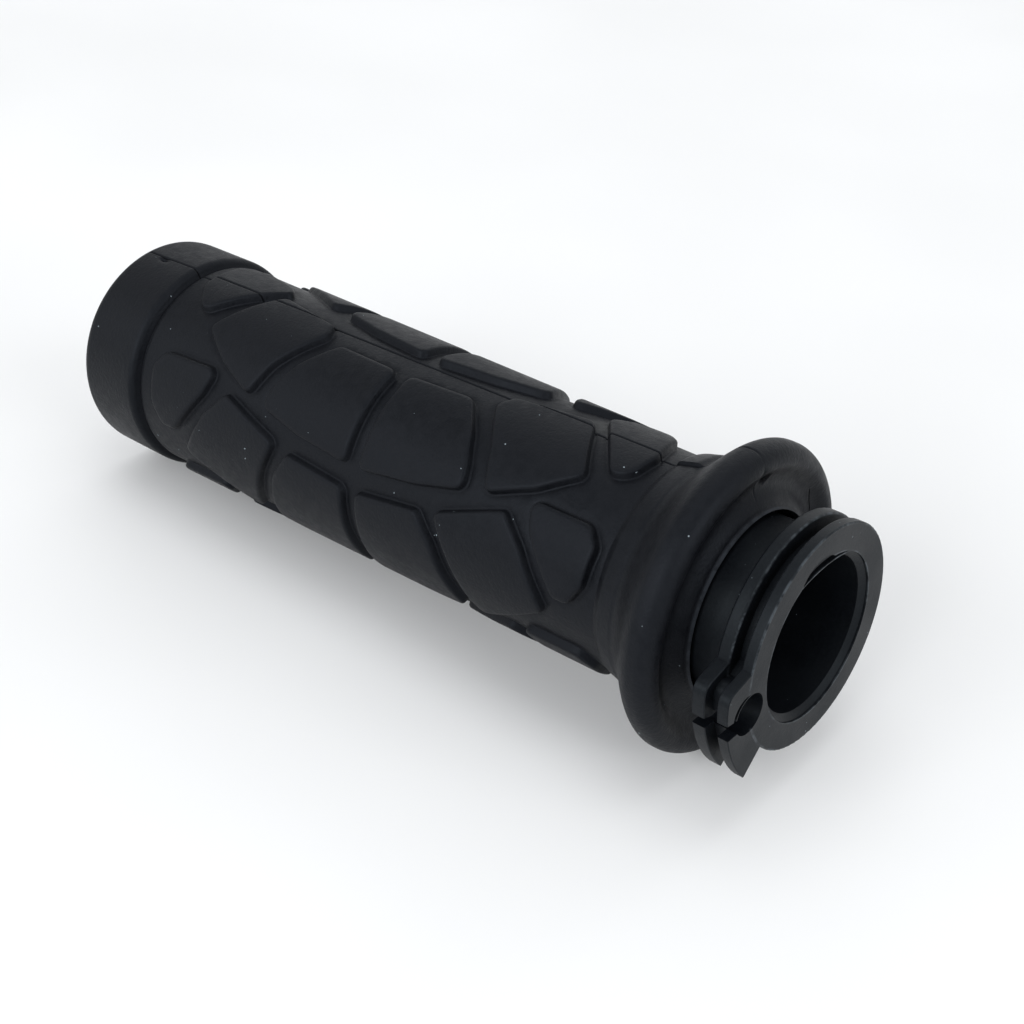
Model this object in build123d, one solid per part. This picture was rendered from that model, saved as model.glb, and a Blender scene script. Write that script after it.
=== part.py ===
from build123d import *
import math
import os

# Throttle grip of a scooter: a rubber grip sleeve moulded over a hard throttle tube.
#
# Millimetres. The handlebar's axis is the X axis, and the origin lies on it where the running bore starts,
# at the bottom of the drum's tapered mouth. +X is the way the handlebar leaves the grip, and the
# bar's end lies towards -X. +Z is up as the grip lies with its parting line on top, and -Y is the side
# that carries the cable lobe. Angles round the axis are in degrees from +Z towards -Y. Lengths along the
# axis are measured outboard from the drum's flat face, and the pieces are moved to the origin at the end.

# Handlebar and throttle tube
BORE_R = 11.175         # runs on a 22.2 mm bar with 0.075 mm clearance
TUBE_R = 12.9           # outside of the tube, and bore of the rubber
TUBE_END = 130.2        # outboard end of the tube
MOUTH_R = 12.06         # mouth where the bar leaves
MOUTH_DEPTH = 0.35      # its straight step
MOUTH_TAPER = 0.7       # length of the cone that leads from the step into the bore
SCOOP_R = 5.0           # shallow scoop cut into the mouth's upper edge
SCOOP_AT = (-1.5, 8.0)  # its centre in Y and Z
SCOOP_DEPTH = 0.45
BURR_R = 22.6           # thin burr left standing between the scoop and the bore, bowed at this radius
BURR_TOP = (0.2, 11.27) # its highest point in Y and Z
BURR_WIDTH = 0.15
BURR_DEPTH = 0.06       # it stops this far below the face

# Keys that stop the rubber turning or sliding on the tube
KEY_COUNT = 4
KEY_HEIGHT = 0.9
KEY_WIDTH = 3.0
KEY_START = 22.0
KEY_END = 120.0
RING_START = 123.0
RING_END = 125.0
RING_R = 14.0

# Cable drum
FRONT_DISC = (0.0, 1.6)     # start and end of each disc, measured outboard from the face
REAR_DISC = (3.45, 5.4)
DISC_R = 16.05
GROOVE_FLOOR_R = 13.5       # the cable winds on this between the discs
FRONT_EDGE = 0.2            # rounding of the front disc's rim
REAR_EDGE = 0.35            # rounding of the rear disc's rim
LOBE_EDGE = 0.12            # bevel of the lobe's edges

# Lobe: a sector of larger radius that holds the cable's nipple and ends in the stop tooth
LOBE_R = 20.6
LOBE_TOP = 84.5             # angle at which the sector's arc starts, after its rounded shoulder
LOBE_STEP = 131.4           # angle of the radial stop face, which leaves the sharp tooth
SHOULDER_FOOT = (-15.4, 3.3)
SHOULDER_R = 1.7
WEB_INSET = 2.0             # the web between the discs stands back from the lobe's edge
NIPPLE_R = 2.95
NIPPLE_AT = (-15.5, -3.2)
CRESCENT_R = 2.65           # crescent dent beside the nipple's hole
CRESCENT_SHIFT = (-0.9, 0.6)
CRESCENT_DEPTH = 0.45
NIPPLE_BURR = 0.15          # thin burr left standing between the dent and the hole
SLOT_WIDTH = 1.9
SLOT_DROP = 0.65            # the slot's middle line is this far below the hole's centre
REAR_SLOT_WIDTH = 0.95      # the slot is narrower through the rear disc
REAR_SLOT_DROP = 0.72
SLOT_FLARE = 8.0            # its upper wall opens outward by this many degrees

# Rubber sleeve
GRIP_END = 132.7
END_HOLE_R = 11.8           # the lip over the tube's end leaves the bar's end open
END_ROUND = 2.0
COLLAR_R = 18.26
COLLAR_FOOT = 118.4         # inboard end of the collar
COLLAR_EDGE = 0.6
PAD_R_OUT = 18.29           # radius over the pads by the collar
PAD_R_IN = 17.07            # radius over the pads by the neck
PAD_HEIGHT = 1.1
BODY_START = 25.0           # the body reaches from here
BODY_END = 115.0            # to here
NECK_STEP = 24.1            # small step where the neck's ring starts
RING_LIFT = 0.55
BELL_FOOT = 21.3
BELL_FOOT_R = 17.1
BELL_R = 22.5
BELL_ROUND = 2.5
BELL_FACE = 11.0
BELL_LAND = 0.5
DISH_DEPTH = 1.5            # the bell's face is dished by this much
BELL_HOLE_R = 13.8
BELL_HOLE_DEPTH = 3.5
LIP_WIDTH = 0.3             # thin lip of flash round the bell's hole
LIP_HEIGHT = 0.5

# Tread pads. Each outline is a list of corners: distance from the body's middle, and angle from the
# row's start. The pads of one row stand as mirror images on both sides of the middle.
PAD_MIDDLE_X = -69.5
PAD_ROWS = 5
ROW_PITCH = 360.0 / PAD_ROWS
LINE_ANGLE = 2.2            # angle of the parting line at the middle of the body
LINE_TWIST = 0.1            # the rubber sits twisted on the tube by this much per millimetre
PAD_CORNER = 1.2
PAD_MID_R = 17.6
NECK_SQUEEZE = 0.87         # end pads by the neck are this much shorter than those by the collar
SQUEEZE_FROM = 31.0

MIDDLE_PAD_AT_LINE = [(1.3, 13.5), (13.0, 12.0), (17.2, 30.5), (20.2, 57.0), (12.0, 63.0), (1.3, 67.5)]
MIDDLE_PAD = [(1.3, 7.5), (13.2, 3.0), (16.2, 18.0), (20.2, 57.0), (12.0, 63.0), (1.3, 67.5)]
FLANK_PAD_AT_LINE = [(16.6, 10.0), (18.0, 1.0), (30.5, -8.0), (37.4, 31.0), (23.7, 54.5), (21.4, 35.0)]
FLANK_PAD = [(16.2, 0.5), (28.0, -14.0), (38.4, 28.0), (23.7, 54.5), (19.4, 21.0)]
END_PAD_AT_LINE = [(41.0, 24.0), (31.0, -12.0), (33.0, -18.0), (40.7, -25.0), (45.4, -17.0), (45.4, 2.0)]
END_PAD = [(45.2, -14.0), (43.0, -23.0), (31.2, -23.8), (33.0, -9.0), (39.5, 17.0), (42.5, 17.0), (44.8, 6.0)]

EPS = 0.05                  # overlap that lets cutting tools pass a face


def turned(points_and_arcs):
    """Revolve a closed outline, drawn as X and radius in the XZ plane, round the X axis."""
    return revolve(make_face(points_and_arcs), Axis.X, 360)


def ring(start, end, outer, inner=0.0):
    """A plain ring or rod round the X axis between two distances outboard of the drum's face."""
    length = end - start
    body = Plane.YZ * Circle(outer)
    if inner > 0.0:
        body = body - Plane.YZ * Circle(inner)
    return Pos(-end, 0, 0) * extrude(body, length)


def polar(radius, angle):
    """Y and Z of a point at an angle from +Z towards -Y."""
    return (-radius * math.sin(math.radians(angle)), radius * math.cos(math.radians(angle)))


def plate(outline, start, end):
    """Extrude an outline drawn in Y and Z between two distances outboard of the drum's face."""
    return Pos(-end, 0, 0) * extrude(Plane.YZ * outline, end - start)


def lobe_outline(inset):
    """The lobe: shoulder, arc at constant radius, and the radial stop face."""
    radius = LOBE_R - inset
    top = polar(radius, LOBE_TOP)
    middle = polar(radius, (LOBE_TOP + LOBE_STEP) / 2)
    tip = polar(radius, LOBE_STEP)
    heel = polar(GROOVE_FLOOR_R - 1.0, LOBE_STEP)
    foot = (SHOULDER_FOOT[0], SHOULDER_FOOT[1] - inset)
    root = polar(GROOVE_FLOOR_R - 1.0, LOBE_TOP - 8.0)
    edges = [Line(foot, top), ThreePointArc(top, middle, tip), Line(tip, heel), Line(heel, root), Line(root, foot)]
    face = make_face(edges)
    shoulder = face.vertices().sort_by_distance(Vertex(top[0], top[1], 0))[0]
    return fillet(shoulder, SHOULDER_R)


def slot_outline(width, drop):
    """The slot that the cable is slipped in by: it runs from the nipple's hole out through the lobe's edge."""
    length = LOBE_R
    half = width / 2
    rise = length * math.tan(math.radians(SLOT_FLARE))
    wedge = Polygon((0, -half), (0, half), (-length, half + rise), (-length, -half), align=None)
    return Pos(NIPPLE_AT[0], NIPPLE_AT[1] - drop) * wedge


def nipple_cut():
    """The nipple's hole and its slot, through both discs."""
    hole = Pos(*NIPPLE_AT) * Circle(NIPPLE_R)
    cut = plate(hole, -EPS, REAR_DISC[1] + EPS)
    cut += plate(slot_outline(SLOT_WIDTH, SLOT_DROP), -EPS, REAR_DISC[0])
    cut += plate(slot_outline(REAR_SLOT_WIDTH, REAR_SLOT_DROP), REAR_DISC[0] - EPS, REAR_DISC[1] + EPS)
    return cut


def crescent_cut():
    """The dent beside the nipple's hole, outside the burr round the hole."""
    dent = Pos(NIPPLE_AT[0] + CRESCENT_SHIFT[0], NIPPLE_AT[1] + CRESCENT_SHIFT[1]) * Circle(CRESCENT_R)
    kept = Pos(*NIPPLE_AT) * Circle(NIPPLE_R + NIPPLE_BURR)
    return plate(dent - kept, -EPS, CRESCENT_DEPTH)


def mouth_burr():
    """The thin burr between the scoop and the bore: a bowed strip across the mouth's upper part."""
    centre = Pos(BURR_TOP[0], BURR_TOP[1] - BURR_R)
    strip = centre * (Circle(BURR_R + BURR_WIDTH) - Circle(BURR_R))
    return plate(strip & Circle(MOUTH_R + EPS), BURR_DEPTH, MOUTH_DEPTH + MOUTH_TAPER)


def make_keys():
    """Long keys and a ring on the tube, which the rubber is moulded round."""
    keys = ring(RING_START, RING_END, RING_R)
    bar = Box(KEY_END - KEY_START, KEY_WIDTH, KEY_HEIGHT + 1.0)
    for index in range(KEY_COUNT):
        place = Pos(-(KEY_START + KEY_END) / 2, 0, TUBE_R + (KEY_HEIGHT - 1.0) / 2)
        keys += Rot(index * 360.0 / KEY_COUNT, 0, 0) * (place * bar)
    return keys


def make_tube(keys):
    """Throttle tube: tube, keys, and the cable drum with its lobe."""
    body = ring(0, TUBE_END, TUBE_R) + keys
    for (start, end), edge in ((FRONT_DISC, FRONT_EDGE), (REAR_DISC, REAR_EDGE)):
        disc = ring(start, end, DISC_R)
        rims = disc.edges().filter_by(GeomType.CIRCLE)
        lobe = plate(lobe_outline(0), start, end)
        flats = lobe.faces().filter_by(Axis.X)
        body += fillet(rims, edge)
        body += chamfer(flats.edges(), LOBE_EDGE)
    body += ring(FRONT_DISC[1] - EPS, REAR_DISC[0] + EPS, GROOVE_FLOOR_R)
    body += plate(lobe_outline(WEB_INSET), FRONT_DISC[1] - EPS, REAR_DISC[0] + EPS)
    body -= ring(-EPS, TUBE_END + EPS, BORE_R)
    body -= ring(-EPS, MOUTH_DEPTH, MOUTH_R)
    body -= Pos(-MOUTH_DEPTH, 0, 0) * Rot(0, -90, 0) * Cone(
        MOUTH_R, BORE_R, MOUTH_TAPER, align=(Align.CENTER, Align.CENTER, Align.MIN))
    body -= plate(Pos(*SCOOP_AT) * Circle(SCOOP_R), -EPS, SCOOP_DEPTH)
    body += mouth_burr()
    body -= nipple_cut()
    body -= crescent_cut()
    return body


def pad_radius(x):
    """Radius over the pads: the body tapers from the collar to the neck."""
    share = (x + BODY_END) / (BODY_END - BODY_START)
    return PAD_R_OUT + (PAD_R_IN - PAD_R_OUT) * share


def sleeve_body():
    """The rubber without its pads, turned from one outline."""
    base_out = pad_radius(-COLLAR_FOOT) - PAD_HEIGHT
    base_in = pad_radius(-NECK_STEP) - PAD_HEIGHT
    bell_crest = -(BELL_FACE + BELL_ROUND)
    rim_foot = (-BELL_FACE, BELL_R - BELL_ROUND)
    round_mid = BELL_ROUND * math.sqrt(0.5)
    rim_mid = (bell_crest + round_mid, BELL_R - BELL_ROUND + round_mid)
    end_mid = END_ROUND * (1 - math.sqrt(0.5))
    lip_foot = (-BELL_FACE, BELL_HOLE_R + LIP_WIDTH)
    dish_mid = (-(BELL_FACE + DISH_DEPTH), (rim_foot[1] + lip_foot[1]) / 2)
    seat = BELL_FACE + BELL_HOLE_DEPTH
    slope_start = (-BELL_FOOT, BELL_FOOT_R)
    slope_end = (bell_crest - BELL_LAND, BELL_R)
    outline = [
        Line((-GRIP_END, END_HOLE_R), (-GRIP_END, COLLAR_R - END_ROUND)),
        ThreePointArc((-GRIP_END, COLLAR_R - END_ROUND), (-GRIP_END + end_mid, COLLAR_R - end_mid),
                      (-GRIP_END + END_ROUND, COLLAR_R)),
        Line((-GRIP_END + END_ROUND, COLLAR_R), (-COLLAR_FOOT - COLLAR_EDGE, COLLAR_R)),
        Line((-COLLAR_FOOT - COLLAR_EDGE, COLLAR_R), (-COLLAR_FOOT, base_out)),
        Line((-COLLAR_FOOT, base_out), (-NECK_STEP - RING_LIFT, base_in)),
        Line((-NECK_STEP - RING_LIFT, base_in), (-NECK_STEP, base_in + RING_LIFT)),
        Line((-NECK_STEP, base_in + RING_LIFT), slope_start),
        Spline(slope_start, slope_end, tangents=[(1.0, 0.12), (1.0, 0.0)], tangent_scalars=[1.0, 1.0]),
        Line(slope_end, (bell_crest, BELL_R)),
        ThreePointArc((bell_crest, BELL_R), rim_mid, rim_foot),
        ThreePointArc(rim_foot, dish_mid, lip_foot),
        Line(lip_foot, (-BELL_FACE + LIP_HEIGHT, BELL_HOLE_R + LIP_WIDTH / 3)),
        Line((-BELL_FACE + LIP_HEIGHT, BELL_HOLE_R + LIP_WIDTH / 3), (-BELL_FACE + LIP_HEIGHT, BELL_HOLE_R)),
        Line((-BELL_FACE + LIP_HEIGHT, BELL_HOLE_R), (-seat, BELL_HOLE_R)),
        Line((-seat, BELL_HOLE_R), (-seat, TUBE_R)),
        Line((-seat, TUBE_R), (-TUBE_END, TUBE_R)),
        Line((-TUBE_END, TUBE_R), (-TUBE_END, END_HOLE_R)),
        Line((-TUBE_END, END_HOLE_R), (-GRIP_END, END_HOLE_R)),
    ]
    return turned([edge.moved(Location((0, 0, 0))) for edge in to_xz(outline)])


def to_xz(edges):
    """Stand an outline drawn in XY up into the XZ plane, so that its second value is the height."""
    return [Plane.XZ.location * edge for edge in edges]


def pad_envelope():
    """The tapered skin that the pads' tops lie in."""
    outline = Polyline(
        (-BODY_END - 1.0, pad_radius(-BODY_END - 1.0)), (-BODY_START + 1.0, pad_radius(-BODY_START + 1.0)),
        (-BODY_START + 1.0, TUBE_R + 2.0), (-BODY_END - 1.0, TUBE_R + 2.0), close=True)
    return turned(to_xz(outline.edges()))


def make_pad(corners, side, row_angle, envelope):
    """One pad: its outline pushed straight out through the tapered skin."""
    placed = []
    for distance, angle in corners:
        if side > 0 and distance > SQUEEZE_FROM:
            distance = SQUEEZE_FROM + (distance - SQUEEZE_FROM) * NECK_SQUEEZE
        x = PAD_MIDDLE_X + side * distance
        placed.append((x, angle + row_angle + LINE_ANGLE - LINE_TWIST * (x - PAD_MIDDLE_X)))
    centre = sum(angle for x, angle in placed) / len(placed)
    points = [(x, -PAD_MID_R * math.sin(math.radians(angle - centre))) for x, angle in placed]
    outline = fillet(Polygon(*points, align=None).vertices(), PAD_CORNER)
    prism = extrude(Pos(0, 0, TUBE_R) * outline, TUBE_R, dir=(0, 0, 1))
    return envelope & (Rot(centre, 0, 0) * prism)


def make_sleeve(keys):
    """Rubber sleeve: turned body, tread pads, and the hollows that the tube's keys fill."""
    body = sleeve_body()
    envelope = pad_envelope()
    pads = []
    for row in range(PAD_ROWS):
        at_line = row == 0
        kinds = [
            MIDDLE_PAD_AT_LINE if at_line else MIDDLE_PAD,
            FLANK_PAD_AT_LINE if at_line else FLANK_PAD,
            END_PAD_AT_LINE if at_line else END_PAD,
        ]
        for corners in kinds:
            for side in (-1, 1):
                pads.append(make_pad(corners, side, row * ROW_PITCH, envelope))
    body = body + pads
    return body - keys


os.makedirs("parts", exist_ok=True)
tube_keys = make_keys()
to_origin = Pos(MOUTH_DEPTH + MOUTH_TAPER, 0, 0)
pieces = {
    "throttle_tube": to_origin * make_tube(tube_keys),
    "grip_sleeve": to_origin * make_sleeve(tube_keys),
}
for name, solid in pieces.items():
    export_step(solid, f"parts/{name}.step")
    box = solid.bounding_box()
    print(name, "solids", len(solid.solids()), "volume", round(solid.volume), "box", box.min, box.max)
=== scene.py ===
import math
import bmesh
import bpy
import numpy as np
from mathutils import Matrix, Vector
from mathutils.geometry import delaunay_2d_cdt


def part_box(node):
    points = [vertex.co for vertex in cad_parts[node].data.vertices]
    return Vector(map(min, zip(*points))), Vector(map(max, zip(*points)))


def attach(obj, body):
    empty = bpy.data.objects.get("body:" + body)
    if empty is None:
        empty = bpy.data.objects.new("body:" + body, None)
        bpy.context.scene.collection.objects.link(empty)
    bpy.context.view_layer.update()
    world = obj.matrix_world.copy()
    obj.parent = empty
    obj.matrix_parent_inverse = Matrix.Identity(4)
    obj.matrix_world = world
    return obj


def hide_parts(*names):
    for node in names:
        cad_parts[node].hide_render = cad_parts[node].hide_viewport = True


# Looks of a scooter's throttle grip: the rubber sleeve is rebuilt as one dense skin with rounded tread
# pads, and the moulded throttle tube keeps its CAD shape with a better material.
# Shapes are worked out in millimetres. "Outboard" lengths are measured from the drum's flat face towards
# the bar's end, and angles go round the axis in degrees, from +Z towards -Y.

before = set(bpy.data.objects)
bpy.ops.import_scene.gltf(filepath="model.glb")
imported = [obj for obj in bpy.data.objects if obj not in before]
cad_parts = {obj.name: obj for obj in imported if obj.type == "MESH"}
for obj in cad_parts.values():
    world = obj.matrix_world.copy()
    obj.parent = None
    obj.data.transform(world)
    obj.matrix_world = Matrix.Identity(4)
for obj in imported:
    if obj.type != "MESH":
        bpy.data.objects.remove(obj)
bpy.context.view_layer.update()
MM = 0.001

sleeve_low, sleeve_high = [Vector(corner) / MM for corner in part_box("grip_sleeve")]
tube_low, tube_high = [Vector(corner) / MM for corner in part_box("throttle_tube")]

# ---------------------------------------------------------------- sizes taken from the frame
FACE_X = tube_high.x                        # the drum's flat face
GRIP_END = FACE_X - sleeve_low.x            # outboard end of the rubber
LIP_FRONT = FACE_X - sleeve_high.x          # thin lip at the bell's hole
TUBE_END = FACE_X - tube_low.x
BELL_R = sleeve_high.z - 0.02               # just inside the CAD's box

# ---------------------------------------------------------------- sizes of the rubber, as in the CAD
# Plain values are radii and outboard distances
TUBE_R = 12.9
END_HOLE_R = 11.8
END_ROUND = 2.0
COLLAR_R = 18.26
COLLAR_FOOT = 118.4
PAD_R_OUT = 18.29
PAD_R_IN = 17.07
PAD_HEIGHT = 1.1
BODY_START = 25.0
BODY_END = 115.0
NECK_STEP = 24.1
RING_LIFT = 0.55
BELL_FOOT = 21.3
BELL_FOOT_R = 17.1
BELL_ROUND = 2.5
BELL_FACE = 11.0
BELL_LAND = 0.5             # short flat on the bell's crest
DISH_DEPTH = 1.5
BELL_HOLE_R = 13.8
BELL_SEAT = 14.5
LIP_WIDTH = 0.3

# ---------------------------------------------------------------- sizes of the tube, as in the CAD
DISC_R = 16.05
MOUTH_R = 12.06
REAR_FRONT = 3.45

# ---------------------------------------------------------------- tread pads
PAD_MIDDLE = 69.5           # outboard distance of the body's middle
PAD_ROWS = 5
ROW_PITCH = 360.0 / PAD_ROWS
LINE_ANGLE = 2.2
LINE_TWIST = 0.1
NECK_SQUEEZE = 0.87         # end pads by the neck are this much shorter
SQUEEZE_FROM = 31.0         # pads are squeezed towards the neck from this distance on
UNROLL_R = 17.6             # the skin is cut out flat at this radius

# Corners: distance from the middle, angle from the row's start, corner radius
MIDDLE_PAD_AT_LINE = [(1.3, 13.5, 1.5), (13.0, 12.0, 2.0), (17.2, 30.5, 8.0), (19.4, 45.0, 8.0),
                      (20.2, 57.0, 1.6), (12.0, 63.5, 8.0), (1.3, 67.5, 1.2)]
MIDDLE_PAD = [(1.3, 7.5, 1.2), (13.2, 3.0, 1.0), (16.5, 18.0, 8.0), (20.2, 57.0, 1.6),
              (12.0, 63.5, 8.0), (1.3, 67.5, 1.2)]
FLANK_PAD_AT_LINE = [(16.6, 10.0, 2.0), (18.0, 1.0, 1.2), (30.5, -6.0, 1.6), (37.4, 29.5, 1.4),
                     (31.0, 44.0, 8.0), (23.7, 54.5, 1.2), (21.4, 35.0, 8.0)]
FLANK_PAD = [(16.2, 0.5, 1.2), (28.0, -14.0, 1.0), (32.2, 0.0, 6.0), (38.0, 27.5, 1.4),
             (23.7, 54.5, 1.4), (19.4, 21.0, 8.0)]
END_PAD_AT_LINE = [(41.2, 24.0, 2.0), (31.0, -12.0, 1.2), (33.0, -18.0, 1.2), (40.7, -25.0, 1.6),
                   (45.4, -17.0, 2.0), (45.4, 8.0, 3.0)]
NECK_PAD_AT_LINE = [(40.7, 24.0, 1.6), (31.0, -14.0, 1.2), (34.0, -27.0, 1.4), (38.6, -36.0, 1.6),
                    (42.4, -23.0, 2.0), (44.7, 4.0, 4.0), (44.0, 19.0, 3.5)]
END_PAD = [(45.3, -14.0, 2.0), (43.0, -23.0, 1.8), (31.2, -23.8, 1.4), (33.0, -9.0, 3.0),
           (39.5, 17.0, 1.2), (42.5, 17.0, 1.4), (44.8, 6.0, 3.0)]

# Shape of a pad's wall: height for each distance outside (+) or inside (-) its outline
WALL = [(-0.75, 1.0), (-0.42, 0.97), (-0.2, 0.87), (-0.06, 0.68), (0.1, 0.08), (0.25, -0.14), (0.58, 0.0)]

# The skin's seam runs in the grooves of the underside. Corners: distance from the middle, row angle
SEAM = [(0.0, 73.3), (13.0, 69.3), (16.3, 67.3), (22.3, 60.5), (26.0, 55.8), (29.3, 50.0), (33.0, 43.5),
        (39.0, 36.5), (44.0, 34.0)]
SEAM_ROW = 3

# Parting lines, along the top and underneath: a fine groove. Depths for distances from its middle
LINE_GROOVE = [(0.0, 0.24), (0.1, 0.2), (0.16, 0.0)]
LINE_STEPS = (-0.45, -0.16, -0.1, 0.0, 0.1, 0.16, 0.3, 0.45, 0.6)
LINE_TURNS = (360.0, 540.0)     # the two lines' angles within the turn that starts at the seam
LINE_FADE = [(11.5, 0.0), (14.0, 0.45), (24.0, 1.0)]      # fainter over the bell, gone on its face
LINE_SHADE_FADE = (23.0, 14.0)    # the parting lines' painted shade fades to a fifth between these outboard distances
# Dents by the upper line: a pit on the collar, and two in the torn patch on the bell's face.
# Outboard distance, radius, distance off the line, half length, half width, depth
FLAWS = [(126.8, 18.3, 0.55, 0.8, 0.36, 0.75), (11.3, 19.9, 0.2, 0.6, 0.45, 0.2),
         (12.2, 18.3, -1.1, 0.9, 0.6, 0.3)]

# A raised patch of the neck beside the upper line: height for outboard distances, share for arc lengths
PLATE = [(20.3, 0.0), (20.9, 0.45), (23.9, 0.45), (24.4, 0.0)]
PLATE_ARC = [(-20.0, 0.0), (-15.0, 1.0), (-0.16, 1.0), (-0.1, 0.0)]

# A knife cut on the bell's face: Y and Z of its ends
CUT_ENDS = ((14.6, 11.2), (16.2, 6.6))
# Marks made by the material: the torn patch's rough dark smudge, and a pale scuff beside the upper line.
# Centre as outboard distance, Y and Z; radius of the mark
SMUDGE = ((12.2, 3.2, 17.8), 1.5)
SCUFF = ((38.6, 3.0, 16.0), 3.4)
SCUFF_BELOW = (16.2, 16.5)  # the scuff fades out between these radii, so the pads stay clear of it

# ---------------------------------------------------------------- density of the skin
SEAM_END_ANGLE = 34.0       # row angle where the skin's columns start, the seam's at both ends
COLUMN_CLEAR = 2.3          # plain columns keep this many degrees off the parting lines
OUTLINE_STEP = 0.5
FILL_SPACING = 1.15         # triangles between the outlines are about this large
LINE_CLEAR = 0.85           # filling points keep this far off the parting lines
SEAM_POINTS, LINE_POINTS = 110, 170
BORDER_NEAR, BORDER_FAR = 0.7, 1.3      # the body's skin ends this far from the neck's step and the collar
WELD = 0.02


def line_angle(outboard):
    """Angle of the parting line: the rubber sits slightly twisted on its tube."""
    return LINE_ANGLE + LINE_TWIST * (outboard - PAD_MIDDLE)


def pad_radius(outboard):
    """Radius over the pads."""
    share = (BODY_END - outboard) / (BODY_END - BODY_START)
    return PAD_R_OUT + (PAD_R_IN - PAD_R_OUT) * share


# ---------------------------------------------------------------- outlines
def rounded(corners, radii, step, closed=False, straight=None):
    """Points along a polyline whose corners are turned into arcs; straight runs may have a longer step."""
    pts = [np.array(c, float) for c in corners]
    count = len(pts)
    out = []
    for i, p in enumerate(pts):
        r = radii[i]
        if not closed and i in (0, count - 1) or r <= 0:
            out.append(p)
            continue
        a = pts[i - 1] - p
        b = pts[(i + 1) % count] - p
        la, lb = np.linalg.norm(a), np.linalg.norm(b)
        a, b = a / la, b / lb
        half = math.acos(max(-1.0, min(1.0, float(a @ b)))) / 2
        reach = min(r / math.tan(half), la * 0.48, lb * 0.48)
        r = reach * math.tan(half)
        middle = (a + b) / np.linalg.norm(a + b)
        centre = p + middle * (r / math.sin(half))
        start, end = p + a * reach - centre, p + b * reach - centre
        sweep = math.atan2(start[0] * end[1] - start[1] * end[0], float(start @ end))
        steps = max(2, math.ceil(abs(sweep) * r / step))
        for k in range(steps + 1):
            t = sweep * k / steps
            c, s = math.cos(t), math.sin(t)
            out.append(centre + np.array([c * start[0] - s * start[1], s * start[0] + c * start[1]]))
    filled = []
    ends = out + out[:1] if closed else out
    for p, q in zip(ends[:-1], ends[1:]):
        steps = max(1, math.ceil(np.linalg.norm(q - p) / (straight or step * 1.15)))
        filled += [p + (q - p) * k / steps for k in range(steps)]
    if not closed:
        filled.append(out[-1])
    return np.array(filled)


def pad_outlines():
    """Every pad's outline, unrolled flat: outboard distance and arc length round the axis."""
    outlines = []
    for row in range(PAD_ROWS):
        at_line = row == 0
        kinds = ((MIDDLE_PAD_AT_LINE, FLANK_PAD_AT_LINE, END_PAD_AT_LINE) if at_line
                 else (MIDDLE_PAD, FLANK_PAD, END_PAD))
        for corners in kinds:
            for side in (1, -1):
                flat, radii = [], []
                by_neck = side < 0 and corners is END_PAD_AT_LINE
                for distance, angle, radius in (NECK_PAD_AT_LINE if by_neck else corners):
                    if side < 0 and distance > SQUEEZE_FROM:
                        distance = SQUEEZE_FROM + (distance - SQUEEZE_FROM) * NECK_SQUEEZE
                    outboard = PAD_MIDDLE + side * distance
                    angle += row * ROW_PITCH + line_angle(outboard)
                    flat.append((outboard, math.radians(angle) * UNROLL_R))
                    radii.append(radius)
                outline = rounded(flat, radii, OUTLINE_STEP, closed=True)
                ahead = np.roll(outline, -1, 0)
                area = np.sum(outline[:, 0] * ahead[:, 1] - outline[:, 1] * ahead[:, 0])
                outlines.append(outline if area > 0 else outline[::-1])
    return outlines


def outline_normals(outline):
    """Outward unit normals of a closed outline."""
    along = np.roll(outline, -1, 0) - np.roll(outline, 1, 0)
    along /= np.linalg.norm(along, axis=1)[:, None]
    return np.stack([along[:, 1], -along[:, 0]], 1)


def seam_arc(outboard):
    """Arc length of the skin's seam at an outboard distance."""
    distance = abs(outboard - PAD_MIDDLE)
    angle = float(np.interp(distance, [d for d, a in SEAM], [a for d, a in SEAM]))
    return math.radians(angle + SEAM_ROW * ROW_PITCH + line_angle(outboard)) * UNROLL_R


ROUND = 2 * math.pi * UNROLL_R


def pad_distance(points, outlines):
    """Signed distance of flat points to the nearest pad's outline, negative inside a pad."""
    best = np.full(len(points), 9.0)
    for outline in outlines:
        for shift in (-ROUND, 0.0, ROUND):
            moved = outline + np.array([0.0, shift])
            near = np.all((points > moved.min(0) - 1.5) & (points < moved.max(0) + 1.5), axis=1)
            if not near.any():
                continue
            p = points[near]
            a, b = moved, np.roll(moved, -1, 0)
            edge = b - a
            rel = p[:, None, :] - a[None]
            t = np.clip(np.sum(rel * edge, 2) / np.sum(edge * edge, 1), 0, 1)
            away = np.linalg.norm(rel - t[..., None] * edge, axis=2).min(1)
            crosses = ((a[:, 1] > p[:, 1:2]) != (b[:, 1] > p[:, 1:2]))
            with np.errstate(divide="ignore", invalid="ignore"):
                at = a[:, 0] + (p[:, 1:2] - a[:, 1]) * edge[:, 0] / edge[:, 1]
            inside = (np.sum(crosses & (p[:, 0:1] < at), 1) % 2) == 1
            signed = np.where(inside, -away, away)
            best[near] = np.minimum(best[near], signed)
    return best


def column_angles():
    """Angles of the skin's columns from the parting line, starting at the seam."""
    start = SEAM_END_ANGLE + SEAM_ROW * ROW_PITCH
    fine_angles = [turn + math.degrees(step / UNROLL_R) for turn in LINE_TURNS for step in LINE_STEPS]
    plain = [start + k for k in range(360)]
    clear = [a for a in plain if min(abs(a - turn - 0.2) for turn in LINE_TURNS) > COLUMN_CLEAR]
    return sorted(clear + fine_angles)


def off_line(outboard, arc):
    """Arc length from flat points to the nearer parting line."""
    line = np.radians(line_angle(outboard)) * UNROLL_R
    return (arc - line + ROUND / 4) % (ROUND / 2) - ROUND / 4


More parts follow.
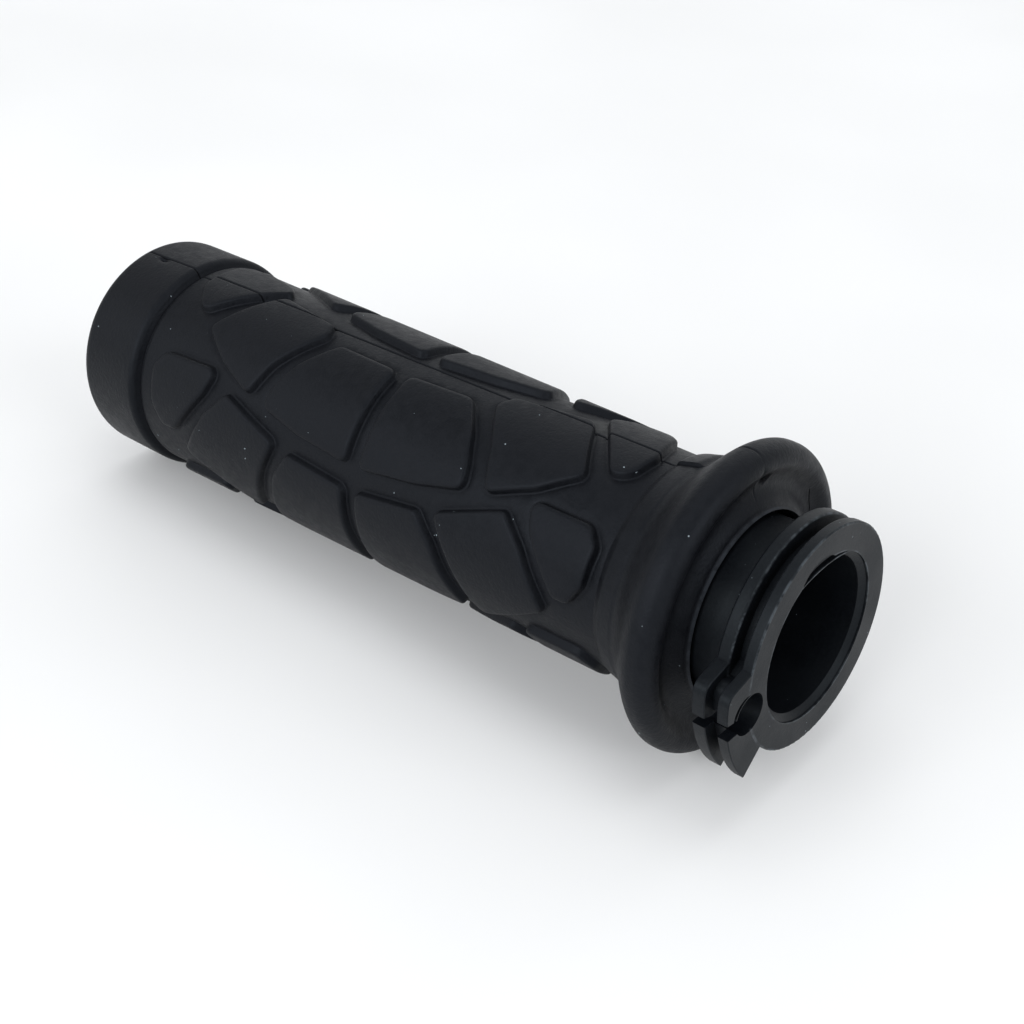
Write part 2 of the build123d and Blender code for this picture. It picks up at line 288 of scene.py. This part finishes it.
def line_relief(outboard, radius, relative):
    """How far the skin lies below its plain shape by the parting lines, from the angle to the line."""
    arc = np.radians((relative + 180.0) % 360.0 - 180.0) * UNROLL_R
    off = np.minimum(np.abs(arc), ROUND / 2 - np.abs(arc))
    relief = np.interp(off, *zip(*LINE_GROOVE)) * np.interp(outboard, *zip(*LINE_FADE))
    for at, height, aside, half_length, half_width, depth in FLAWS:
        along = np.hypot(outboard - at, radius - height) / half_length
        relief = relief + depth * np.exp(-along ** 2 - ((arc - aside) / half_width) ** 2)
    return relief - np.interp(outboard, *zip(*PLATE)) * np.interp(arc, *zip(*PLATE_ARC))


# ---------------------------------------------------------------- the rubber's skin
def body_skin(start, end):
    """The body's skin between two outboard distances, as points and triangles that follow every outline."""
    outlines = pad_outlines()
    flat, edges = [], []

    def add_loop(loop, closed):
        first = len(flat)
        flat.extend(Vector((float(p[0]), float(p[1]))) for p in loop)
        last = len(flat) - 1
        edges.extend((k, k + 1) for k in range(first, last))
        if closed:
            edges.append((last, first))

    # border: seam on both sides, and the two ends with one point per column
    columns = column_angles()
    knees = {PAD_MIDDLE + s * d for d, a in SEAM for s in (-1, 1) if start < PAD_MIDDLE + s * d < end}
    seam_x = sorted(set(np.linspace(start, end, SEAM_POINTS)) | knees)
    seam = [(x, seam_arc(x)) for x in seam_x]
    far_end = [(end, math.radians(a + line_angle(end)) * UNROLL_R) for a in columns[1:]]
    near_end = [(start, math.radians(a + line_angle(start)) * UNROLL_R) for a in columns[1:]]
    border = seam + far_end + [(x, y + ROUND) for x, y in reversed(seam)] + near_end[::-1]
    add_loop(border, True)

    # pads: one loop for each step of the wall
    placed = []
    for outline in outlines:
        middle = outline.mean(0)
        turns = math.floor((middle[1] - seam_arc(middle[0])) / ROUND)
        moved = outline - np.array([0.0, turns * ROUND])
        placed.append(moved)
        normals = outline_normals(moved)
        for offset, height in WALL:
            add_loop(moved + normals * offset, True)

    # parting lines
    for turn in LINE_TURNS:
        for step in LINE_STEPS:
            add_loop([(x, math.radians(line_angle(x) + turn) * UNROLL_R + step)
                      for x in np.linspace(start, end, LINE_POINTS)], False)

    # filling points
    spacing = FILL_SPACING
    xs = np.arange(start + 0.6, end - 0.5, spacing * 0.866)
    fill = []
    for i, x in enumerate(xs):
        base = seam_arc(x)
        ys = base + 0.5 + (np.arange(0, ROUND - 1.0, spacing) + (i % 2) * spacing / 2)
        fill += [(x, y) for y in ys if y < base + ROUND - 0.4]
    fill = np.array(fill)
    away = pad_distance(fill, placed)
    keep = (away > WALL[-1][0] + spacing * 0.4) | (away < WALL[0][0] - spacing * 0.4)
    keep &= np.abs(off_line(fill[:, 0], fill[:, 1]) - 0.1) > LINE_CLEAR
    flat.extend(Vector((float(p[0]), float(p[1]))) for p in fill[keep])

    verts, _, faces, *_ = delaunay_2d_cdt(flat, edges, [], 1, 1e-5)
    verts = np.array([(v.x, v.y) for v in verts])
    away = pad_distance(verts, placed)
    knots = np.array(WALL)
    height = np.interp(away, knots[:, 0], knots[:, 1]) * PAD_HEIGHT
    outboard, arc = verts[:, 0], verts[:, 1]
    radius = pad_radius(outboard) - PAD_HEIGHT + height
    relative = np.degrees(arc / UNROLL_R) - line_angle(outboard)
    return outboard, arc / UNROLL_R, radius - line_relief(outboard, radius, relative), faces


def slope_points(start, end, steps):
    """The bell's back: an S-curve between two points of the outline."""
    out = []
    for k in range(steps + 1):
        t = k / steps
        ease = t * t * (3 - 2 * t)
        out.append((start[0] + (end[0] - start[0]) * t, start[1] + (end[1] - start[1]) * ease))
    return out


def fine(points, step):
    """Points on a polyline no further apart than a step."""
    out = []
    for p, q in zip(points[:-1], points[1:]):
        steps = max(1, math.ceil(math.dist(p, q) / step))
        out += [(p[0] + (q[0] - p[0]) * k / steps, p[1] + (q[1] - p[1]) * k / steps) for k in range(steps)]
    return out + [points[-1]]


def collar_outline(body_edge):
    """From the lip inside the outboard end, over the collar, to the body's edge."""
    foot_r = pad_radius(COLLAR_FOOT) - PAD_HEIGHT
    corners = [(TUBE_END, END_HOLE_R), (GRIP_END, END_HOLE_R), (GRIP_END, COLLAR_R),
               (COLLAR_FOOT + 1.0, COLLAR_R), (COLLAR_FOOT + 0.4, foot_r - 0.9),
               (COLLAR_FOOT - 0.2, foot_r - 0.15), (COLLAR_FOOT - 0.7, foot_r),
               (body_edge, pad_radius(body_edge) - PAD_HEIGHT)]
    radii = [0, 0.4, END_ROUND, 1.2, 0.15, 0.4, 0.4, 0]
    points = [tuple(p) for p in rounded(corners, radii, 0.25, straight=1.2)]
    pit_at, pit_r = FLAWS[0][:2]
    out = []
    for p, q in zip(points[:-1], points[1:]):
        near_pit = abs((p[0] + q[0]) / 2 - pit_at) < 1.6 and p[1] > pit_r - 0.5
        out += fine([p, q], 0.25 if near_pit else 9.0)[:-1]
    return np.array(out + points[-1:])


def bell_outline(body_edge):
    """From the body's edge, over the neck's ring and the bell, into the hole and along the tube."""
    neck_r = pad_radius(NECK_STEP) - PAD_HEIGHT
    crest = BELL_FACE + BELL_ROUND
    ring = rounded([(body_edge, pad_radius(body_edge) - PAD_HEIGHT), (NECK_STEP + 0.5, neck_r),
                    (NECK_STEP - 0.5, neck_r + RING_LIFT), (BELL_FOOT, BELL_FOOT_R)], [0, 0.9, 1.2, 0], 0.15)
    slope = slope_points((BELL_FOOT, BELL_FOOT_R), (crest + BELL_LAND, BELL_R), 30)
    rim = [(crest - BELL_ROUND * math.sin(t), BELL_R - BELL_ROUND + BELL_ROUND * math.cos(t))
           for t in np.linspace(0, math.pi / 2, 14)]
    dish_top, dish_foot = BELL_R - BELL_ROUND, BELL_HOLE_R + LIP_WIDTH
    dish = [(BELL_FACE + DISH_DEPTH * math.sin(math.pi * t) ** 1.5, dish_top + (dish_foot - dish_top) * t)
            for t in np.linspace(0, 0.999, 26)]
    hole = rounded([(BELL_FACE, dish_foot), (LIP_FRONT, BELL_HOLE_R + 0.1), (LIP_FRONT, BELL_HOLE_R),
                    (BELL_SEAT, BELL_HOLE_R), (BELL_SEAT, TUBE_R), (TUBE_END, TUBE_R),
                    (TUBE_END, END_HOLE_R)],
                   [0, 0.02, 0.02, 0.3, 0, 0, 0], 3.0, straight=12.0)
    points = [tuple(p) for p in ring] + slope[1:] + rim[1:] + dish[1:] + [tuple(p) for p in hole][1:]
    return np.array(points)


def make_sleeve():
    """The rubber sleeve as one closed mesh."""
    near, far = NECK_STEP + BORDER_NEAR, COLLAR_FOOT - BORDER_FAR
    outboard, angle, radius, faces = body_skin(near, far)
    verts = [(FACE_X - x, -r * math.sin(a), r * math.cos(a)) for x, a, r in zip(outboard, angle, radius)]
    faces = [tuple(f) for f in faces]

    relative = np.array(column_angles())
    columns = len(relative)

    def add_rings(outline):
        base = len(verts)
        along = np.gradient(outline, axis=0)
        along /= np.linalg.norm(along, axis=1)[:, None]
        for (x, r), (run, rise) in zip(outline, along):
            relief = line_relief(x, r, relative) if r > BELL_HOLE_R + LIP_WIDTH else 0 * relative
            angles = np.radians(relative + line_angle(x))
            verts.extend((FACE_X - x + rise * d, -(r + run * d) * math.sin(a), (r + run * d) * math.cos(a))
                         for d, a in zip(relief, angles))
        for i in range(len(outline) - 1):
            for k in range(columns):
                n = (k + 1) % columns
                row, following = base + i * columns, base + (i + 1) * columns
                faces.append((row + k, row + n, following + n, following + k))

    add_rings(collar_outline(far))
    add_rings(bell_outline(near))
    mesh = bpy.data.meshes.new("grip_rubber")
    mesh.from_pydata([tuple(c * MM for c in v) for v in verts], [], faces)
    piece = bpy.data.objects.new("grip_rubber", mesh)
    bpy.context.scene.collection.objects.link(piece)
    tidy_mesh(piece, WELD * MM)
    return piece


def tidy_mesh(piece, weld):
    """Weld the borders, point every face outward and shade smooth."""
    work = bmesh.new()
    work.from_mesh(piece.data)
    bmesh.ops.remove_doubles(work, verts=work.verts, dist=weld)
    bmesh.ops.dissolve_degenerate(work, edges=work.edges, dist=weld / 10)
    bmesh.ops.recalc_face_normals(work, faces=work.faces)
    for face in work.faces:
        face.smooth = True
    work.to_mesh(piece.data)
    work.free()


# ---------------------------------------------------------------- materials
RUBBER_COLOURS = (0.0024, 0.0028, 0.0040), (0.0038, 0.0042, 0.0056), (0.0072, 0.0077, 0.0096)
PLASTIC_COLOURS = (0.0026, 0.0032, 0.0046), (0.0042, 0.0050, 0.0066), (0.0080, 0.0095, 0.0120)
FLOOR_COLOURS = (0.86, 0.86, 0.86), (0.9, 0.9, 0.9)
# near black: painted shade in the parting lines' groove, and the bell's dark smudge
GROOVE_SHADE_AND_SMUDGE = (0.0006, 0.0006, 0.0008)
DUST = (0.26, 0.31, 0.34)
SCUFFED = (0.020, 0.021, 0.021)
# painted highlight on the bell hole's lip, which is also a paler thin flash
LIP_HIGHLIGHT_AND_FLASH = (0.020, 0.023, 0.028)
# pale wear along the discs' edges, partly a painted highlight
WORN_EDGE_AND_HIGHLIGHT = (0.052, 0.060, 0.068)


def node_tree(name):
    """A new material with an empty tree but for its output and one principled shader."""
    material = bpy.data.materials.new(name)
    material.use_nodes = True
    nodes, links = material.node_tree.nodes, material.node_tree.links
    nodes.clear()
    output = nodes.new("ShaderNodeOutputMaterial")
    shader = nodes.new("ShaderNodeBsdfPrincipled")
    links.new(shader.outputs[0], output.inputs[0])
    return material, nodes, links, shader


def noise_node(nodes, links, source, scale, detail=4.0, rough=0.55, stretch=(1, 1, 1)):
    """Fixed noise over the object's own space."""
    mapping = nodes.new("ShaderNodeMapping")
    mapping.inputs["Scale"].default_value = stretch
    links.new(source, mapping.inputs[0])
    noise = nodes.new("ShaderNodeTexNoise")
    noise.inputs["Scale"].default_value = scale
    noise.inputs["Detail"].default_value = detail
    noise.inputs["Roughness"].default_value = rough
    links.new(mapping.outputs[0], noise.inputs["Vector"])
    return noise.outputs["Fac"]


def ramp(nodes, links, source, low, high, low_value, high_value):
    """Smooth step of a value from one range to another."""
    node = nodes.new("ShaderNodeMapRange")
    node.interpolation_type = "SMOOTHSTEP"
    node.inputs["From Min"].default_value = low
    node.inputs["From Max"].default_value = high
    node.inputs["To Min"].default_value = low_value
    node.inputs["To Max"].default_value = high_value
    links.new(source, node.inputs["Value"])
    return node.outputs[0]


def blend_colour(nodes, links, factor, first, second):
    """Mix of two colours, each a plain colour or another node's output."""
    node = nodes.new("ShaderNodeMix")
    node.data_type = "RGBA"
    for socket, value in ((node.inputs[6], first), (node.inputs[7], second)):
        if isinstance(value, tuple):
            socket.default_value = (*value, 1)
        else:
            links.new(value, socket)
    links.new(factor, node.inputs[0])
    return node.outputs[2]


def bump(nodes, links, height, strength, distance, normal=None):
    """Bump from a height, on top of an earlier normal if there is one."""
    node = nodes.new("ShaderNodeBump")
    node.inputs["Strength"].default_value = strength
    node.inputs["Distance"].default_value = distance
    links.new(height, node.inputs["Height"])
    if normal is not None:
        links.new(normal, node.inputs["Normal"])
    return node.outputs[0]


def maths(nodes, links, operation, first, second=None):
    """A maths node; each input is a number or another node's output."""
    node = nodes.new("ShaderNodeMath")
    node.operation = operation
    for socket, value in zip(node.inputs, (first, second)):
        if isinstance(value, (int, float)):
            socket.default_value = value
        elif value is not None:
            links.new(value, socket)
    return node.outputs[0]


def split_place(nodes, links, place):
    """X, Y, Z, radius and angle round the axis (from +Z towards -Y) of a point."""
    split = nodes.new("ShaderNodeSeparateXYZ")
    links.new(place, split.inputs[0])
    x, y, z = split.outputs
    radius = maths(nodes, links, "SQRT", maths(nodes, links, "ADD", maths(nodes, links, "MULTIPLY", y, y),
                                               maths(nodes, links, "MULTIPLY", z, z)))
    angle = maths(nodes, links, "ARCTAN2", maths(nodes, links, "MULTIPLY", y, -1.0), z)
    return x, y, z, radius, angle


def mark(nodes, links, place, centre, size, ragged):
    """Mask of a round mark with ragged edges: 1 in its middle, 0 outside."""
    node = nodes.new("ShaderNodeVectorMath")
    node.operation = "DISTANCE"
    links.new(place, node.inputs[0])
    outboard, y, z = centre
    node.inputs[1].default_value = ((FACE_X - outboard) * MM, y * MM, z * MM)
    away = maths(nodes, links, "MULTIPLY_ADD", ragged, size * MM)
    links.new(node.outputs["Value"], away.node.inputs[2])
    return ramp(nodes, links, away, size * MM * 0.9, size * MM * 1.35, 1, 0)


def knife_cut(nodes, links, x, y, z):
    """Height of a short cut across the bell's face: -1 in its middle, 0 outside."""
    (y0, z0), (y1, z1) = CUT_ENDS
    length = math.dist(*CUT_ENDS)
    aside = maths(nodes, links, "MULTIPLY_ADD", y, (z0 - z1) / length)
    aside.node.inputs[2].default_value = ((z1 - z0) * y0 - (y1 - y0) * z0) / length * MM
    lean = maths(nodes, links, "MULTIPLY", z, (y1 - y0) / length)
    aside = maths(nodes, links, "ABSOLUTE", maths(nodes, links, "ADD", aside, lean))
    cut = ramp(nodes, links, aside, 0.04 * MM, 0.16 * MM, -1, 0)
    for limit in (ramp(nodes, links, z, z1 * MM, (z1 + 0.7) * MM, 0, 1),
                  ramp(nodes, links, z, (z0 - 0.7) * MM, z0 * MM, 1, 0),
                  ramp(nodes, links, x, (FACE_X - BELL_SEAT) * MM, (FACE_X - BELL_SEAT + 0.4) * MM, 0, 1)):
        cut = maths(nodes, links, "MULTIPLY", cut, limit)
    return cut


def rubber_material():
    """Satin black moulded rubber: fine grain, clouding, dust, painted shade in the parting lines, scuffs, a
    painted highlight on the lip's pale flash, and a cut.
    """
    material, nodes, links, shader = node_tree("rubber")
    place = nodes.new("ShaderNodeTexCoord").outputs["Object"]
    x, y, z, radius, angle = split_place(nodes, links, place)
    cloud = noise_node(nodes, links, place, 60, 5)
    grain = noise_node(nodes, links, place, 2000, 3, 0.7)
    mottle = noise_node(nodes, links, place, 700, 4, 0.7)
    speck = noise_node(nodes, links, place, 1200, 1)
    deep, plain, pale = RUBBER_COLOURS
    base = blend_colour(nodes, links, ramp(nodes, links, cloud, 0.35, 0.65, 0, 1), deep, plain)
    base = blend_colour(nodes, links, ramp(nodes, links, mottle, 0.35, 0.68, 0, 0.5), base, pale)

    # angle to the parting line, whose own angle changes slowly along X
    line = maths(nodes, links, "MULTIPLY_ADD", x, -math.radians(LINE_TWIST) / MM)
    line.node.inputs[2].default_value = math.radians(line_angle(FACE_X))
    turned = maths(nodes, links, "SUBTRACT", angle, line)
    off = maths(nodes, links, "ABSOLUTE", maths(nodes, links, "SINE", turned))
    off = maths(nodes, links, "MULTIPLY", off, radius)
    # painted shade: the parting lines' groove is coloured near black as the shade in it, fading over the bell
    groove_shade_mask = maths(nodes, links, "MULTIPLY", ramp(nodes, links, off, 0.07 * MM, 0.15 * MM, 1, 0),
                      ramp(nodes, links, x, *[(FACE_X - fade) * MM for fade in LINE_SHADE_FADE], 1, 0.2))
    base = blend_colour(nodes, links, groove_shade_mask, base, GROOVE_SHADE_AND_SMUDGE)
    rough_patch = noise_node(nodes, links, place, 900, 5, 0.75)
    smudge = mark(nodes, links, place, *SMUDGE, rough_patch)
    base = blend_colour(nodes, links, smudge, base, GROOVE_SHADE_AND_SMUDGE)
    scuff = maths(nodes, links, "MULTIPLY", mark(nodes, links, place, *SCUFF, rough_patch),
                  ramp(nodes, links, radius, SCUFF_BELOW[0] * MM, SCUFF_BELOW[1] * MM, 1, 0))
    base = blend_colour(nodes, links, scuff, base, SCUFFED)
    # painted highlight: the lip in front of the bell's face is coloured lighter in patches, partly for its
    # pale thin flash
    lip_highlight_and_flash = maths(nodes, links, "MULTIPLY", ramp(nodes, links, mottle, 0.35, 0.6, 0.3, 1.0),
                   ramp(nodes, links, x, (FACE_X - BELL_FACE) * MM, (FACE_X - BELL_FACE + 0.2) * MM, 0, 1))
    base = blend_colour(nodes, links, lip_highlight_and_flash, base, LIP_HIGHLIGHT_AND_FLASH)
    dusty = blend_colour(nodes, links, ramp(nodes, links, speck, 0.80, 0.82, 0, 0.9), base, DUST)
    links.new(dusty, shader.inputs["Base Color"])
    rough = maths(nodes, links, "ADD", ramp(nodes, links, cloud, 0.3, 0.7, 0.4, 0.5),
                  ramp(nodes, links, mottle, 0.35, 0.65, 0, 0.09))
    # rougher in the painted-shade groove and in the smudge
    groove_shade_and_smudge = maths(nodes, links, "MAXIMUM", groove_shade_mask, smudge)
    rough = maths(nodes, links, "ADD", rough, maths(nodes, links, "MULTIPLY", groove_shade_and_smudge, 0.4))
    links.new(rough, shader.inputs["Roughness"])
    shader.inputs["Specular IOR Level"].default_value = 0.15
    shader.inputs["Specular Tint"].default_value = (0.79, 0.87, 1.0, 1)
    fine_bump = bump(nodes, links, grain, 0.8, 0.00008)
    mottled = bump(nodes, links, mottle, 0.3, 0.00012, fine_bump)
    torn = maths(nodes, links, "MULTIPLY", smudge, ramp(nodes, links, rough_patch, 0.35, 0.65, 0, -1))
    mottled = bump(nodes, links, torn, 1.0, 0.0006, mottled)

    cut = knife_cut(nodes, links, x, y, z)
    links.new(bump(nodes, links, cut, 1.0, 0.0005, mottled), shader.inputs["Normal"])
    return material


def tube_material():
    """Semi-matt black moulded plastic, greyer than the rubber, worn pale along the discs' edges, where
    highlights are painted too.
    """
    material, nodes, links, shader = node_tree("tube_plastic")
    place = nodes.new("ShaderNodeTexCoord").outputs["Object"]
    x, _, _, radius, _ = split_place(nodes, links, place)
    cloud = noise_node(nodes, links, place, 120, 5)
    grain = noise_node(nodes, links, place, 2400, 4, 0.7)
    scratch = noise_node(nodes, links, place, 900, 4, stretch=(1, 0.2, 0.2))
    patch = noise_node(nodes, links, place, 420, 5, 0.65)
    speck = noise_node(nodes, links, place, 1500, 1)
    deep, plain, pale = PLASTIC_COLOURS
    base = blend_colour(nodes, links, ramp(nodes, links, cloud, 0.35, 0.65, 0, 1), deep, plain)
    base = blend_colour(nodes, links, ramp(nodes, links, grain, 0.4, 0.7, 0, 0.4), base, pale)

    # worn edges with painted highlights: the face's rim and mouth, and the front of the rear disc
    depth = maths(nodes, links, "SUBTRACT", FACE_X * MM, x)
    at_rim = maths(nodes, links, "MULTIPLY",
                   ramp(nodes, links, radius, (DISC_R - 0.4) * MM, (DISC_R - 0.2) * MM, 0, 1),
                   ramp(nodes, links, radius, (DISC_R + 0.05) * MM, (DISC_R + 0.15) * MM, 1, 0))
    at_mouth = ramp(nodes, links, radius, (MOUTH_R + 0.05) * MM, (MOUTH_R + 0.3) * MM, 1, 0)
    at_face = ramp(nodes, links, depth, 0.05 * MM, 0.3 * MM, 1, 0)
    rear = maths(nodes, links, "ABSOLUTE", maths(nodes, links, "SUBTRACT", depth, REAR_FRONT * MM))
    at_rear = ramp(nodes, links, rear, 0.1 * MM, 0.35 * MM, 1, 0)
    edge = maths(nodes, links, "MULTIPLY", maths(nodes, links, "MAXIMUM", at_rim, at_mouth), at_face)
    edge = maths(nodes, links, "MAXIMUM", edge, maths(nodes, links, "MULTIPLY", at_rim, at_rear))
    # pale edges in patches, never below a tenth: part chipped wear, part painted highlight
    edge_wear_and_highlight = maths(nodes, links, "MULTIPLY", edge, ramp(nodes, links, patch, 0.42, 0.62, 0.1, 1.0))
    base = blend_colour(nodes, links, edge_wear_and_highlight, base, WORN_EDGE_AND_HIGHLIGHT)
    base = blend_colour(nodes, links, ramp(nodes, links, speck, 0.80, 0.82, 0, 0.9), base, DUST)
    links.new(base, shader.inputs["Base Color"])
    links.new(ramp(nodes, links, cloud, 0.3, 0.7, 0.4, 0.5), shader.inputs["Roughness"])
    shader.inputs["Specular IOR Level"].default_value = 0.165
    shader.inputs["Specular Tint"].default_value = (0.82, 0.93, 1.0, 1)
    rough_face = bump(nodes, links, grain, 0.3, 0.00008)
    links.new(bump(nodes, links, scratch, 0.3, 0.00010, rough_face), shader.inputs["Normal"])
    return material


def floor_material():
    """Pale matt paint with hardly any clouding."""
    material, nodes, links, shader = node_tree("floor_paint")
    place = nodes.new("ShaderNodeTexCoord").outputs["Object"]
    cloud = noise_node(nodes, links, place, 8, 2)
    tone = blend_colour(nodes, links, ramp(nodes, links, cloud, 0.3, 0.7, 0, 1), *FLOOR_COLOURS)
    links.new(tone, shader.inputs["Base Color"])
    shader.inputs["Roughness"].default_value = 0.7
    return material


# ---------------------------------------------------------------- build
sleeve = make_sleeve()
sleeve.data.materials.append(rubber_material())
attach(sleeve, "root")
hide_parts("grip_sleeve")

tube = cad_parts["throttle_tube"]
tube_look = tube_material()
for material_slot in tube.material_slots:
    material_slot.material = tube_look

# ---------------------------------------------------------------- floor, light and camera
# It lies on its bell and its collar, so the floor is a plane just under both
REST_BELL = Vector((FACE_X - BELL_FACE - BELL_ROUND, 0, -BELL_R))
REST_COLLAR = Vector((FACE_X - GRIP_END + END_ROUND, 0, -COLLAR_R))
floor_mesh = bpy.data.meshes.new("floor")
FLOOR_HALF = 1.6            # metres, as are the lights' sizes and the camera's place below
FLOOR_GAP = 0.0002
middle = (REST_BELL + REST_COLLAR) / 2
run = Vector((1, 0, (REST_BELL.z - REST_COLLAR.z) / (REST_BELL.x - REST_COLLAR.x))).normalized()
centre = middle * MM - Vector((0, 0, FLOOR_GAP))
corners = [centre + run * (FLOOR_HALF * a) + Vector((0, FLOOR_HALF * b, 0))
           for a, b in ((-1, -1), (1, -1), (1, 1), (-1, 1))]
floor_mesh.from_pydata([tuple(c) for c in corners], [], [(0, 1, 2, 3)])
floor = bpy.data.objects.new("floor", floor_mesh)
bpy.context.scene.collection.objects.link(floor)
floor_mesh.materials.append(floor_material())


PALE_LIGHT = (0.97, 0.985, 1.0)


def soft_light(name, place, aim, size, power):
    """An area light at a place, turned to what it is aimed at."""
    data = bpy.data.lights.new(name, "AREA")
    data.shape = "RECTANGLE"
    data.size, data.size_y = size
    data.energy = power
    data.color = PALE_LIGHT
    light = bpy.data.objects.new(name, data)
    light.location = place
    light.rotation_euler = (Vector(aim) - Vector(place)).to_track_quat("-Z", "Y").to_euler()
    bpy.context.scene.collection.objects.link(light)


# Soft boxes all round: a key light on the lobe's side, a side light by the drum, weak fills and a top light.
# Powers in watts; then each box's angle from +X, its angle above the floor and its power
KEY, SIDE, FILL, TOP = 5.0, 3.0, 1.0, 1.5
LOW, OVERHEAD = 28, 90
SOFT_BOXES = [(0, LOW, SIDE), (90, LOW, FILL), (135, LOW, FILL), (225, LOW, FILL), (270, LOW, KEY),
              (0, OVERHEAD, TOP)]
AIM = Vector((-0.065, 0, 0))
BOX_SIZE = (0.7, 0.5)
for number, (turn, rise, power) in enumerate(SOFT_BOXES):
    turn, rise = math.radians(turn), math.radians(rise)
    away = Vector((math.cos(rise) * math.cos(turn), math.cos(rise) * math.sin(turn), math.sin(rise)))
    soft_light("soft_box_%d" % number, AIM + away, AIM, BOX_SIZE, power)

WORLD_STRENGTH = 0.6
world = bpy.data.worlds.new("studio")
world.use_nodes = True
world.node_tree.nodes["Background"].inputs[0].default_value = (*PALE_LIGHT, 1)
world.node_tree.nodes["Background"].inputs[1].default_value = WORLD_STRENGTH
bpy.context.scene.world = world

# the photo's viewpoint
CAMERA_PLACE = (0.0809, -0.1518, 0.1234)
CAMERA_LOOK = (-0.5578, 0.6388, -0.5298)
CAMERA_LENS = 56.25         # millimetres, on a sensor 36 mm wide
camera_data = bpy.data.cameras.new("camera")
camera_data.sensor_width = 36
camera_data.lens = CAMERA_LENS
camera_data.clip_start = 0.01
camera = bpy.data.objects.new("camera", camera_data)
camera.location = CAMERA_PLACE
camera.rotation_euler = Vector(CAMERA_LOOK).to_track_quat("-Z", "Y").to_euler()
bpy.context.scene.collection.objects.link(camera)
bpy.context.scene.camera = camera
bpy.context.scene.view_settings.view_transform = "Standard"

bpy.context.view_layer.update()
